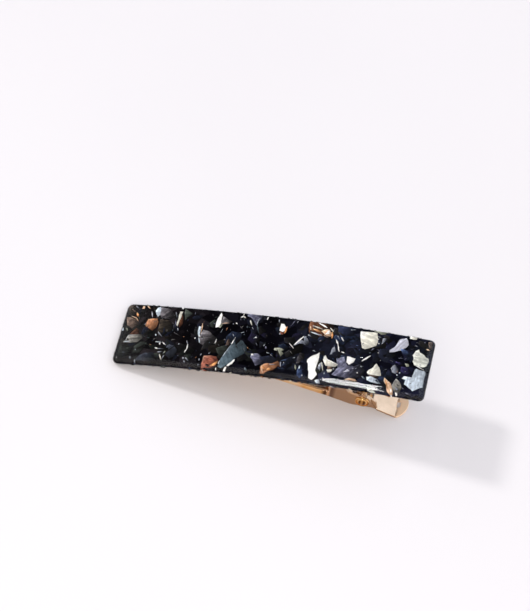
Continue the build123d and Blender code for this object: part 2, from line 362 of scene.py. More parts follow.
def rim_outline(inset, per_side=120, per_end=18, per_corner=9):
    """Points of the bar's rounded outline, pulled in by an inset, counter-clockwise."""
    half_l, half_w = LENGTH / 2 - inset, WIDTH / 2 - inset
    r = max(CORNER - inset, 0.3)
    cx, cy = half_l - r, half_w - r
    centres = [(cx, cy), (-cx, cy), (-cx, -cy), (cx, -cy)]
    points = []
    for quarter, (cx, cy) in enumerate(centres):
        for i in range(per_corner + 1):
            a = math.pi / 2 * (quarter + i / per_corner)
            points.append((cx + r * math.cos(a), cy + r * math.sin(a)))
        nx, ny = centres[(quarter + 1) % 4]
        a = math.pi / 2 * (quarter + 1)
        end = (nx + r * math.cos(a), ny + r * math.sin(a))
        start = points[-1]
        count = per_side if quarter in (0, 2) else per_end
        for i in range(1, count):
            t = i / count
            points.append((start[0] + (end[0] - start[0]) * t, start[1] + (end[1] - start[1]) * t))
    return points


# The polished roll: the face turns down to this tilt on a wide radius, then on FACE_ROUND
SOFT_TILT = math.radians(30)
SOFT_RADIUS = 2.6
EDGE_WIDTH = FACE_ROUND * (1 - math.sin(SOFT_TILT)) + SOFT_RADIUS * math.sin(SOFT_TILT)
EDGE_DROP = FACE_ROUND * math.cos(SOFT_TILT) + SOFT_RADIUS * (1 - math.cos(SOFT_TILT))


def edge_profile():
    """The polished edge from the wall to the flat face: distance from the wall, drop below the face."""
    points = []
    for i in range(9):
        tilt = math.pi / 2 + (SOFT_TILT - math.pi / 2) * i / 8
        points.append((FACE_ROUND * (1 - math.sin(tilt)), EDGE_DROP - FACE_ROUND * math.cos(tilt)))
    for i in range(1, 9):
        tilt = SOFT_TILT * (1 - i / 8)
        points.append((EDGE_WIDTH - SOFT_RADIUS * math.sin(tilt), SOFT_RADIUS * (1 - math.cos(tilt))))
    return points


def edge_drop(distance):
    """How far the skin lies below the flat face at a distance from the wall."""
    profile = edge_profile()
    if distance <= 0:
        return EDGE_DROP
    for (d0, h0), (d1, h1) in zip(profile, profile[1:]):
        if d0 <= distance <= d1:
            return h0 + (h1 - h0) * (distance - d0) / (d1 - d0)
    return 0.0


def join_rings(bm, rings):
    """Quads between each ring of points and the next."""
    for low, high in zip(rings, rings[1:]):
        for i in range(len(low)):
            j = (i + 1) % len(low)
            bm.faces.new((low[i], low[j], high[j], high[i]))
    bmesh.ops.remove_doubles(bm, verts=bm.verts, dist=1e-7)


def finish_mesh(bm, name):
    bmesh.ops.recalc_face_normals(bm, faces=bm.faces)
    mesh = bpy.data.meshes.new(name)
    bm.to_mesh(mesh)
    bm.free()
    obj = new_object(name, mesh)
    smooth(obj)
    return obj


def bar_mesh(name, inset, wall):
    """The bar's closed surface, with its face and back moved in by an inset and its edge by a wall."""
    rings = []
    steps = 6
    for i in range(steps + 1):
        a = math.pi / 2 * i / steps
        rings.append((BACK_ROUND * (1 - math.sin(a)) + wall, BACK_ROUND * (1 - math.cos(a)) + inset))
    for distance, drop in edge_profile():
        rings.append((distance + wall, THICK - drop - inset))
    bm = bmesh.new()

    def ring(points, height):
        return [bm.verts.new(place(x, y, arc(x, height))) for x, y in points]

    def shrink(points, amount):
        keep = LENGTH / 2 - WIDTH / 2
        inner = []
        for x, y in points:
            far = max(abs(x) - keep, 0.0)
            x = math.copysign(abs(x) - far * amount, x)
            inner.append((x, y * (1 - amount)))
        return inner

    # How far each ring of the back closes in on the long axis; the face has them in reverse
    spread = (0.97, 0.75, 0.5, 0.25, 0.08)
    loops = []
    back = rim_outline(rings[0][0])
    for amount in spread:
        loops.append(ring(shrink(back, amount), inset))
    for pull, height in rings:
        loops.append(ring(rim_outline(pull), height))
    front = rim_outline(rings[-1][0])
    for amount in reversed(spread):
        loops.append(ring(shrink(front, amount), THICK - inset))
    join_rings(bm, loops)
    bmesh.ops.holes_fill(bm, edges=[e for e in bm.edges if e.is_boundary])
    return finish_mesh(bm, name)


# How far the dark core lies inside the skin's face and back, and inside its walls
CORE_DEPTH, CORE_WALL = 0.42, 0.05

skin = bar_mesh("acetate_skin", 0.0, 0.0)
skin.data.materials.append(SKIN)
core = bar_mesh("acetate_core", CORE_DEPTH, CORE_WALL)
core.data.materials.append(CORE)
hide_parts("acetate_plate")
for obj in (skin, core):
    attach(obj, "bar_body")


# ---------------------------------------------------------------- chips


def srgb(r, g, b):
    def one(v):
        v /= 255
        return v / 12.92 if v <= 0.04045 else ((v + 0.055) / 1.055) ** 2.4

    return Vector((one(r), one(g), one(b)))


# Each family in sRGB: the body of the chip and the light that its rim catches
TONES = {
    "white": ((238, 238, 236), (255, 255, 255)),
    "cream": ((222, 220, 208), (250, 250, 244)),
    "icy": ((200, 213, 226), (238, 246, 254)),
    "silver": ((158, 164, 178), (236, 240, 248)),
    "pale_lavender": ((188, 190, 204), (226, 228, 238)),
    "lavender": ((104, 105, 126), (176, 180, 202)),
    "slate": ((82, 98, 108), (186, 196, 208)),
    "blue": ((62, 78, 116), (128, 150, 188)),
    "navy": ((38, 44, 68), (78, 88, 122)),
    "grey": ((104, 100, 104), (168, 168, 174)),
    "ash": ((70, 67, 70), (140, 140, 146)),
    "olive": ((150, 154, 138), (226, 228, 214)),
    "moss": ((72, 80, 74), (126, 134, 126)),
    "umber": ((46, 40, 33), (104, 92, 84)),
    "bronze": ((110, 92, 82), (196, 168, 148)),
    "rust": ((158, 92, 74), (232, 196, 170)),
    "orange": ((226, 160, 104), (250, 214, 170)),
    "peach": ((228, 190, 158), (252, 232, 212)),
    "brown": ((92, 58, 42), (150, 104, 76)),
    "violet": ((46, 42, 80), (86, 82, 130)),
    "copper": ((176, 122, 88), (240, 200, 164)),
    "smoke": ((132, 130, 124), (236, 238, 236)),
    "dusk": ((46, 50, 60), (96, 102, 118)),
    "pearl": ((206, 209, 200), (250, 252, 248)),
}
TONES = {name: (srgb(*body), srgb(*rim)) for name, (body, rim) in TONES.items()}

# How strongly a chip darkens away from the light
FADE = {
    "white": 0.26, "cream": 0.42, "icy": 0.42, "silver": 0.9, "pale_lavender": 0.35, "lavender": 0.9,
    "slate": 0.7, "grey": 1.1, "ash": 1.2, "bronze": 1.0, "umber": 0.9, "moss": 0.8, "navy": 0.8,
    "olive": 0.6, "peach": 0.5, "orange": 0.5, "rust": 0.6, "brown": 1.0, "blue": 0.9, "violet": 0.8,
    "copper": 0.7, "smoke": 0.6, "dusk": 0.8, "pearl": 0.25,
}

# How much the grain shows in a chip
LIVELY = {
    "white": 0.16, "cream": 0.34, "icy": 0.46, "silver": 0.7, "pale_lavender": 0.36, "slate": 0.45,
    "peach": 0.5, "orange": 0.5, "pearl": 0.5, "dusk": 0.5, "olive": 0.35, "moss": 0.5, "navy": 0.5,
    "copper": 0.6,
}

# A chip's strength against its family's tone, and the palest a chip gets
CHIP_GAIN = 1.22
PALEST = 0.93

# Spacing of points along a chip's outline, and how near the face its tilt may bring it, in mm
OUTLINE_STEP = 0.7
LEAST_DEPTH = 0.04

# Chips that can be told apart, from the low end to the raised end
CHIPS = [
    ("umber", [(-41.5, 8.4), (-39.4, 9.0), (-38.6, 6.8), (-39.0, 5.2), (-41.2, 5.4)]),
    ("bronze", [(-41.2, 4.6), (-38.5, 4.2), (-37.3, 2.8), (-37.2, 1.6), (-38.4, 0.8), (-40.4, 2.0)]),
    ("brown", [(-37.6, 1.2), (-36.3, 0.4), (-35.9, -0.8), (-37.5, -1.2), (-38.9, -0.8)]),
    ("smoke", [
        (-39.2, -1.2), (-37.2, -0.9), (-35.4, -0.9), (-35.2, -2.2), (-36.2, -3.5), (-38.2, -3.7),
        (-40.2, -3.6), (-39.6, -2.4),
    ]),
    ("copper", [
        (-35.5, 4.6), (-32.6, 4.8), (-32.0, 3.6), (-32.2, 1.8), (-33.0, 0.6), (-35.2, 2.2), (-35.7, 3.0),
    ]),
    ("icy", [
        (-33.4, 8.3), (-32.6, 8.8), (-32.3, 7.6), (-32.1, 6.2), (-32.6, 5.3), (-33.2, 6.0), (-33.7, 7.2),
    ]),
    ("grey", [
        (-32.4, 8.6), (-29.8, 8.4), (-28.2, 7.4), (-28.0, 6.0), (-29.0, 4.9), (-31.6, 5.0), (-32.2, 6.0),
    ]),
    ("umber", [(-31.8, 4.6), (-29.2, 4.4), (-27.9, 3.0), (-27.7, 1.2), (-29.4, 0.2), (-31.6, 0.6)]),
    ("cream", [(-26.9, 7.7), (-26.1, 7.6), (-26.3, 5.2), (-26.6, 2.6), (-27.0, 3.2), (-26.9, 5.8)]),
    ("brown", [(-26.1, 6.6), (-25.6, 5.6), (-25.4, 3.6), (-25.9, 2.4), (-26.4, 3.0)]),
    ("white", [(-26.8, 9.3), (-26.2, 9.0), (-26.2, 8.4), (-26.6, 8.5)]),
    ("moss", [(-25.8, 8.6), (-24.4, 7.9), (-23.4, 7.3), (-24.4, 6.2), (-25.0, 5.0), (-25.4, 6.6)]),
    ("dusk", [(-28.0, -3.2), (-26.0, -3.6), (-24.8, -5.0), (-25.0, -7.2), (-26.4, -8.0), (-27.6, -6.6)]),
    ("dusk", [(-35.4, -9.2), (-35.0, -8.0), (-33.4, -6.6), (-31.0, -6.2), (-30.2, -8.4), (-31.6, -9.3)]),
    ("icy", [(-20.6, 3.3), (-20.1, 3.2), (-19.9, 1.4), (-19.7, 0.2), (-20.1, 0.0), (-20.6, 1.6)]),
    ("grey", [
        (-19.3, 2.4), (-17.6, 2.0), (-15.2, 0.2), (-15.4, -1.9), (-17.8, -2.8), (-19.4, -2.0),
        (-20.0, -0.6),
    ]),
    ("white", [
        (-16.2, 6.6), (-15.6, 8.4), (-15.2, 7.6), (-15.0, 5.0), (-15.2, 3.8), (-16.1, 3.4), (-16.3, 5.0),
    ]),
    ("olive", [(-15.3, 5.2), (-14.4, 4.9), (-14.9, 3.6), (-15.4, 3.6)]),
    ("grey", [(-15.0, 7.4), (-13.2, 6.4), (-12.0, 6.0), (-12.8, 5.0), (-14.9, 4.8)]),
    ("lavender", [
        (-8.6, 9.0), (-5.2, 9.2), (-3.2, 8.8), (-2.6, 7.8), (-4.4, 8.2), (-5.1, 7.2), (-5.4, 5.4),
        (-6.4, 6.8), (-7.4, 7.9), (-8.4, 8.2),
    ]),
    ("slate", [
        (-10.0, 1.1), (-9.6, 0.4), (-8.0, 0.2), (-6.8, -1.2), (-6.3, -2.6), (-7.0, -4.2), (-8.6, -5.6),
        (-9.6, -7.2), (-10.8, -8.4), (-11.8, -9.3), (-12.8, -9.0), (-12.7, -7.6), (-12.2, -5.4),
        (-11.4, -2.8), (-10.6, -0.8),
    ]),
    ("white", [(-9.2, -6.2), (-8.7, -6.2), (-9.1, -7.6), (-10.0, -8.4), (-10.5, -8.4)]),
    ("white", [(-10.9, -8.8), (-10.4, -8.8), (-10.7, -9.5), (-11.3, -9.5)]),
    ("rust", [
        (-17.2, -6.0), (-15.4, -5.7), (-13.8, -5.9), (-13.0, -7.4), (-13.4, -8.8), (-15.0, -9.3),
        (-17.2, -9.4), (-17.3, -8.0),
    ]),
    ("orange", [
        (-14.9, -6.8), (-13.5, -6.4), (-13.1, -7.6), (-13.6, -8.6), (-15.0, -8.9), (-14.6, -7.8),
    ]),
    ("bronze", [(-12.0, 0.4), (-11.2, -0.6), (-11.4, -1.8), (-12.2, -1.9)]),
    ("lavender", [
        (-4.8, -3.8), (-3.2, -3.3), (-1.2, -4.6), (-0.6, -5.4), (-2.0, -6.8), (-3.0, -7.4), (-4.0, -5.8),
        (-4.8, -4.8),
    ]),
    ("copper", [
        (-1.6, -7.4), (-0.6, -6.0), (1.0, -6.0), (2.6, -5.0), (3.3, -6.2), (2.0, -8.0), (0.4, -8.6),
        (-0.4, -9.3), (-1.4, -9.3),
    ]),
    ("white", [(1.1, 6.9), (1.9, 6.9), (2.6, 6.0), (2.6, 5.0), (2.0, 4.4), (1.0, 4.7)]),
    ("brown", [(1.2, 4.5), (2.7, 5.2), (2.7, 4.0), (1.8, 3.5)]),
    ("olive", [
        (0.8, -1.0), (2.4, -0.7), (3.6, -1.2), (2.8, -1.7), (3.6, -2.4), (3.0, -3.4), (2.4, -2.4),
        (1.8, -1.6), (0.9, -1.5),
    ]),
    ("silver", [
        (5.6, 0.5), (6.2, 1.8), (7.2, 3.2), (8.0, 4.0), (8.8, 3.4), (9.6, 2.0), (9.0, 1.0), (8.0, 1.5),
        (6.9, 1.5), (6.1, 0.7),
    ]),
    ("brown", [(8.6, 9.0), (14.8, 9.1), (15.3, 6.0), (15.0, 4.2), (12.8, 4.6), (9.0, 5.0), (8.4, 7.0)]),
    ("peach", [(12.0, 6.2), (13.0, 7.0), (14.2, 7.1), (15.0, 6.4), (15.0, 5.0), (13.2, 5.1)]),
    ("white", [(12.5, 6.3), (13.2, 6.8), (14.2, 6.7), (14.3, 5.6), (13.2, 5.4)]),
    ("white", [
        (13.0, -0.6), (12.2, -1.4), (10.9, -2.2), (10.1, -3.4), (10.7, -5.2), (11.3, -7.6), (11.6, -8.9),
        (12.4, -9.3), (13.0, -8.9), (13.6, -7.6), (12.9, -6.6), (13.0, -4.0), (13.1, -2.0),
    ]),
    ("cream", [
        (14.6, -1.1), (14.2, -1.8), (15.4, -2.5), (17.4, -3.2), (18.4, -3.6), (17.8, -4.4), (16.0, -4.5),
        (15.2, -4.4), (14.2, -2.6),
    ]),
    ("bronze", [(15.8, -4.5), (17.8, -4.4), (17.5, -5.3), (16.0, -5.5)]),
    ("cream", [(15.7, -5.6), (17.3, -5.3), (16.8, -6.3), (16.2, -6.4)]),
    ("silver", [(13.5, -4.2), (14.1, -3.4), (14.8, -4.8), (15.1, -6.6), (14.2, -6.3), (13.4, -5.4)]),
    ("silver", [(15.6, -0.6), (15.9, 1.2), (16.4, 2.0), (17.0, 0.6), (16.2, -0.4)]),
    ("navy", [(16.2, 8.8), (20.0, 8.9), (20.6, 6.4), (18.4, 5.8), (16.4, 7.0)]),
    ("white", [(20.3, -0.5), (22.5, -0.8), (22.2, -2.0), (21.2, -3.1), (20.4, -2.4)]),
    ("lavender", [
        (17.6, -1.6), (19.4, -0.8), (20.4, -3.2), (22.8, -3.2), (24.2, -2.0), (25.6, -4.0), (24.8, -6.6),
        (21.0, -7.4), (17.4, -6.9), (18.5, -4.4),
    ]),
    ("pale_lavender", [(20.2, -5.6), (21.0, -4.4), (21.8, -5.0), (20.9, -5.4)]),
    ("ash", [(7.6, -1.4), (9.0, -1.5), (9.2, -3.0), (8.2, -4.8), (7.4, -5.0)]),
    ("blue", [(8.6, -5.2), (9.3, -6.0), (9.9, -8.4), (9.2, -9.3), (8.4, -8.6), (8.2, -6.6)]),
    ("icy", [(13.2, -9.3), (14.4, -8.9), (14.7, -9.4), (13.8, -9.5)]),
    ("cream", [
        (22.2, 8.1), (26.6, 8.4), (27.0, 7.0), (27.3, 5.6), (27.0, 4.2), (25.8, 3.4), (24.4, 2.6),
        (23.5, 2.9), (23.0, 4.6), (22.4, 6.4),
    ]),
    ("olive", [(25.4, 9.3), (29.2, 9.2), (28.8, 8.3), (27.6, 8.1), (26.0, 8.8)]),
    ("silver", [(28.4, 7.0), (29.4, 7.2), (28.9, 6.0), (28.3, 5.2)]),
    ("pale_lavender", [
        (34.4, 8.2), (35.0, 7.4), (35.3, 6.2), (34.9, 5.2), (33.6, 4.2), (32.2, 3.3), (30.8, 2.9),
        (30.7, 3.6), (31.8, 4.8), (32.4, 6.2), (32.8, 7.4),
    ]),
    ("pearl", [
        (37.4, 4.6), (38.2, 5.3), (38.6, 4.4), (39.8, 4.0), (40.4, 3.3), (41.1, 3.3), (41.3, 2.4),
        (41.0, 0.8), (40.2, 0.1), (39.0, 0.0), (37.8, 0.3), (37.2, 1.2), (37.4, 2.2), (36.9, 3.2),
    ]),
    ("icy", [
        (38.6, -0.8), (41.0, -1.2), (41.2, -2.0), (41.2, -6.2), (40.2, -6.8), (38.8, -7.9), (37.6, -7.0),
        (36.4, -6.2), (36.4, -4.8), (35.4, -4.6), (35.8, -3.7), (38.0, -3.7), (38.1, -2.4), (38.3, -1.2),
    ]),
    ("silver", [
        (32.9, -0.5), (34.0, -1.6), (34.2, -2.8), (33.4, -3.4), (32.6, -3.0), (32.1, -2.0), (32.4, -1.0),
    ]),
    ("cream", [
        (28.1, -1.3), (29.2, -2.6), (30.0, -4.9), (28.6, -5.1), (26.6, -5.0), (26.2, -4.4), (26.6, -3.6),
        (27.6, -2.6),
    ]),
    ("bronze", [(26.8, -5.1), (29.6, -5.1), (28.9, -5.8), (27.4, -5.7)]),
    ("icy", [(26.4, -6.0), (27.4, -5.6), (29.2, -6.2), (30.2, -7.4), (28.4, -7.3), (26.6, -7.0)]),
    ("smoke", [
        (34.0, -5.0), (35.2, -5.8), (35.9, -7.4), (35.6, -8.6), (34.9, -9.2), (33.9, -8.6), (33.3, -7.2),
        (33.6, -5.8),
    ]),
    ("silver", [(34.1, -5.8), (35.0, -6.4), (35.4, -7.6), (34.8, -8.4), (34.1, -7.4)]),
    ("peach", [
        (31.0, -5.2), (32.0, -6.0), (33.0, -6.8), (33.6, -8.2), (33.9, -9.4), (32.5, -9.4), (31.8, -7.4),
        (31.0, -6.2),
    ]),
    ("pearl", [(27.0, -9.0), (29.6, -8.9), (29.6, -9.4), (27.4, -9.4)]),
    ("cream", [(35.2, 9.2), (37.2, 9.2), (37.1, 8.3), (36.2, 8.2), (35.2, 8.3)]),
    ("bronze", [(40.2, 8.4), (41.2, 8.6), (41.5, 7.4), (41.3, 6.2), (40.6, 6.4)]),
    ("olive", [(35.4, 0.4), (36.4, 0.3), (36.6, -0.4), (36.0, -0.6)]),
    ("violet", [(34.6, -0.8), (36.6, -1.0), (37.6, -2.4), (36.0, -3.2), (34.6, -2.2)]),
    ("peach", [(20.8, -7.8), (22.0, -7.2), (23.6, -7.2), (24.2, -7.8)]),
    ("peach", [(-37.5, 8.7), (-36.9, 8.4), (-37.0, 7.6), (-37.6, 7.7)]),
]

# Thin slivers seen edge on: family, from, to, width
SLIVERS = [
    ("silver", (-39.5, 8.4), (-38.2, 7.5), 0.28), ("bronze", (-40.2, 7.2), (-38.3, 5.8), 0.4),
    ("orange", (-38.7, 6.2), (-38.0, 4.9), 0.5), ("peach", (-40.0, 5.0), (-38.3, 4.4), 0.3),
    ("peach", (-38.4, 4.4), (-37.6, 3.4), 0.3), ("icy", (-41.4, 1.3), (-41.2, 0.0), 0.45),
    ("olive", (-40.3, 1.0), (-39.8, 0.0), 0.3), ("icy", (-40.2, -3.6), (-38.2, -3.3), 0.3),
    ("peach", (-36.4, 8.9), (-35.3, 7.7), 0.4), ("pale_lavender", (-34.7, 7.0), (-34.0, 5.0), 0.3),
    ("silver", (-28.0, 7.4), (-27.3, 5.4), 0.2), ("lavender", (-27.5, 4.9), (-26.9, 2.4), 0.35),
    ("ash", (-27.6, 3.2), (-27.2, 0.9), 0.25), ("ash", (-27.0, 0.7), (-24.4, -0.8), 0.3),
    ("silver", (-26.3, 2.1), (-26.0, 1.3), 0.25), ("silver", (-31.4, 0.4), (-29.7, -1.2), 0.22),
    ("icy", (-31.9, -0.4), (-31.6, -0.9), 0.4), ("icy", (-31.3, -2.9), (-29.6, -2.9), 0.3),
    ("white", (-30.0, -2.9), (-29.9, -3.8), 0.35), ("white", (-29.4, -2.8), (-28.2, -3.8), 0.26),
    ("white", (-31.0, -4.8), (-30.2, -5.0), 0.5), ("silver", (-30.2, -5.0), (-28.3, -5.0), 0.28),
    ("silver", (-30.0, -6.1), (-28.4, -5.9), 0.3), ("cream", (-29.3, -6.7), (-28.4, -8.5), 0.32),
    ("silver", (-28.3, -8.4), (-27.9, -7.0), 0.24), ("olive", (-28.0, -5.6), (-28.0, -6.2), 0.4),
    ("moss", (-35.7, -8.8), (-35.2, -7.6), 0.22), ("silver", (-35.5, -9.0), (-35.5, -9.5), 0.25),
    ("silver", (-22.9, -1.8), (-22.2, -3.0), 0.3), ("white", (-22.3, -2.8), (-22.3, -4.6), 0.42),
    ("white", (-22.3, -4.4), (-22.7, -5.6), 0.3), ("silver", (-22.7, -7.2), (-22.2, -7.8), 0.5),
    ("silver", (-22.0, -7.2), (-20.7, -8.4), 0.22), ("silver", (-22.2, -8.2), (-21.8, -8.8), 0.4),
    ("white", (-21.0, -0.6), (-20.7, -0.7), 0.4), ("peach", (-19.9, 4.4), (-19.6, 0.9), 0.35),
    ("white", (-20.0, 0.3), (-19.7, -0.1), 0.4), ("icy", (-19.9, -0.4), (-19.3, -2.0), 0.35),
    ("silver", (-18.9, -0.4), (-18.7, -0.7), 0.4), ("white", (-15.0, -0.2), (-15.2, -1.8), 0.25),
    ("peach", (-14.8, 4.9), (-12.9, 5.3), 0.25), ("white", (-11.0, 5.6), (-10.6, 5.2), 0.4),
    ("silver", (-11.7, 5.2), (-11.5, 5.0), 0.4), ("cream", (-9.5, 9.2), (-9.5, 8.0), 0.25),
    ("white", (-9.4, 7.9), (-10.1, 7.5), 0.35), ("cream", (-9.4, 7.9), (-8.7, 7.4), 0.3),
    ("cream", (-7.4, 6.9), (-6.6, 5.3), 0.4), ("silver", (-6.4, 4.7), (-5.9, 4.0), 0.28),
    ("grey", (-9.6, 4.5), (-8.8, 3.6), 0.28), ("white", (-2.8, 8.7), (-3.0, 7.6), 0.35),
    ("icy", (-5.1, 7.8), (-5.4, 6.0), 0.3), ("slate", (-5.4, 6.0), (-4.3, 3.0), 0.45),
    ("white", (-4.8, 1.7), (-4.6, 1.4), 0.4), ("white", (-10.1, 0.9), (-10.7, -1.4), 0.22),
    ("icy", (-11.2, -2.6), (-12.1, -5.6), 0.25), ("white", (-12.5, -6.8), (-12.8, -8.2), 0.3),
    ("white", (-13.3, -9.3), (-13.1, -9.5), 0.35), ("silver", (-18.0, -5.4), (-18.1, -6.2), 0.3),
    ("silver", (-18.2, -7.1), (-18.1, -7.7), 0.4), ("silver", (-18.2, -8.8), (-18.0, -9.2), 0.35),
    ("silver", (-16.1, -5.2), (-15.6, -4.5), 0.3), ("white", (-4.8, -3.8), (-4.2, -4.2), 0.6),
    ("grey", (-13.0, -0.1), (-12.3, -0.4), 0.3), ("slate", (-5.6, -8.4), (-4.9, -9.3), 0.5),
    ("lavender", (-1.5, -1.0), (-1.2, -1.8), 0.5), ("orange", (-1.3, -7.2), (-0.4, -7.9), 0.9),
    ("orange", (0.2, -8.2), (1.4, -7.6), 0.8), ("brown", (3.0, -5.4), (3.4, -6.8), 0.3),
    ("silver", (0.8, 9.3), (1.0, 8.8), 0.3), ("silver", (0.2, 8.1), (0.5, 7.2), 0.3),
    ("lavender", (4.6, 8.8), (3.4, 5.8), 0.2), ("silver", (1.2, 3.9), (1.6, 3.3), 0.4),
    ("white", (4.4, 1.0), (5.9, -0.4), 0.25), ("white", (5.7, 0.6), (7.8, 3.9), 0.45),
    ("white", (10.7, 8.9), (13.3, 7.6), 0.5), ("cream", (9.4, 7.7), (12.4, 6.8), 0.35),
    ("peach", (8.8, 7.4), (9.2, 6.1), 0.5), ("icy", (9.2, 5.5), (12.4, 4.9), 0.35),
    ("orange", (9.6, 6.6), (12.0, 5.9), 0.5), ("bronze", (13.0, 4.9), (14.8, 4.5), 0.5),
    ("cream", (14.2, 7.6), (15.2, 6.6), 0.35), ("silver", (8.8, 4.5), (9.9, 3.9), 0.35),
    ("grey", (12.2, 3.0), (12.8, 3.3), 0.5), ("white", (14.3, -2.0), (18.3, -3.6), 0.3),
    ("white", (16.4, 4.2), (17.2, 2.7), 0.4), ("white", (17.1, 2.8), (17.9, 0.6), 0.35),
    ("white", (17.6, 5.2), (18.4, 4.1), 0.35), ("silver", (16.6, 5.4), (17.4, 4.3), 0.25),
    ("white", (18.4, 0.6), (19.3, 0.4), 0.35), ("cream", (14.0, -3.4), (14.9, -6.2), 0.3),
    ("icy", (8.6, -5.6), (8.6, -6.6), 0.4), ("silver", (9.8, -8.3), (9.9, -8.8), 0.3),
    ("olive", (7.4, -5.6), (7.8, -7.0), 0.4), ("silver", (4.2, -5.2), (4.4, -5.6), 0.35),
    ("pale_lavender", (3.3, -5.2), (3.7, -6.8), 0.3), ("white", (27.2, 6.5), (27.2, 6.2), 0.35),
    ("white", (27.6, 5.2), (27.6, 4.9), 0.35), ("lavender", (26.9, 3.6), (26.0, 2.5), 0.35),
    ("white", (24.3, -1.3), (26.2, 0.8), 0.42), ("white", (28.0, 2.3), (28.1, 2.0), 0.4),
    ("lavender", (28.0, 3.2), (28.3, 0.8), 0.25), ("white", (28.6, -2.6), (29.6, -4.8), 0.28),
    ("slate", (25.2, -6.0), (26.2, -6.8), 0.45), ("lavender", (33.5, 1.5), (34.8, 1.7), 0.3),
    ("icy", (34.5, -2.9), (34.7, -3.1), 0.4), ("icy", (33.8, -3.7), (34.3, -3.9), 0.4),
    ("silver", (37.0, 6.4), (37.9, 6.1), 0.28), ("lavender", (39.3, 7.6), (39.5, 8.0), 0.35),
    ("silver", (37.3, 7.5), (37.4, 7.2), 0.25), ("white", (38.5, 0.1), (40.6, -0.8), 0.25),
    ("peach", (40.1, 5.9), (41.0, 5.6), 0.4), ("lavender", (36.0, -7.4), (36.8, -8.0), 0.3),
    ("lavender", (37.2, -8.8), (38.4, -9.0), 0.35), ("white", (34.5, -9.2), (35.1, -9.4), 0.35),
    ("silver", (23.2, -3.8), (23.3, -4.0), 0.4), ("white", (23.7, -5.0), (23.9, -5.3), 0.3),
    ("pale_lavender", (22.4, -3.9), (22.5, -4.1), 0.35), ("grey", (24.8, -2.8), (25.0, -2.9), 0.3),
    ("blue", (33.6, 4.6), (36.0, 2.8), 1.4), ("violet", (33.0, 0.2), (35.0, -0.4), 0.8),
    ("orange", (31.1, -5.5), (32.6, -8.6), 0.45), ("white", (33.2, -8.0), (33.6, -10.6), 0.5),
    ("cream", (6.8, -9.9), (6.9, -10.6), 0.35), ("silver", (7.6, -10.2), (7.9, -10.8), 0.3),
    ("pale_lavender", (17.4, -9.8), (18.4, -11.0), 0.55), ("pearl", (27.6, -9.6), (29.4, -9.9), 0.8),
    ("orange", (2.75, 6.2), (2.5, 4.0), 0.5), ("rust", (1.3, 4.0), (2.3, 3.7), 0.6),
    ("orange", (14.9, 6.6), (15.2, 4.4), 0.5), ("rust", (-17.0, -9.8), (-15.7, -10.6), 0.9),
    ("copper", (-0.9, -9.7), (-0.6, -10.8), 0.6), ("slate", (-12.4, -9.8), (-11.8, -10.4), 0.7),
    ("silver", (-11.0, -9.8), (-10.8, -10.4), 0.4), ("peach", (-1.4, -7.0), (-0.6, -9.2), 0.35),
    ("silver", (0.6, -6.4), (2.4, -6.2), 0.3),
]


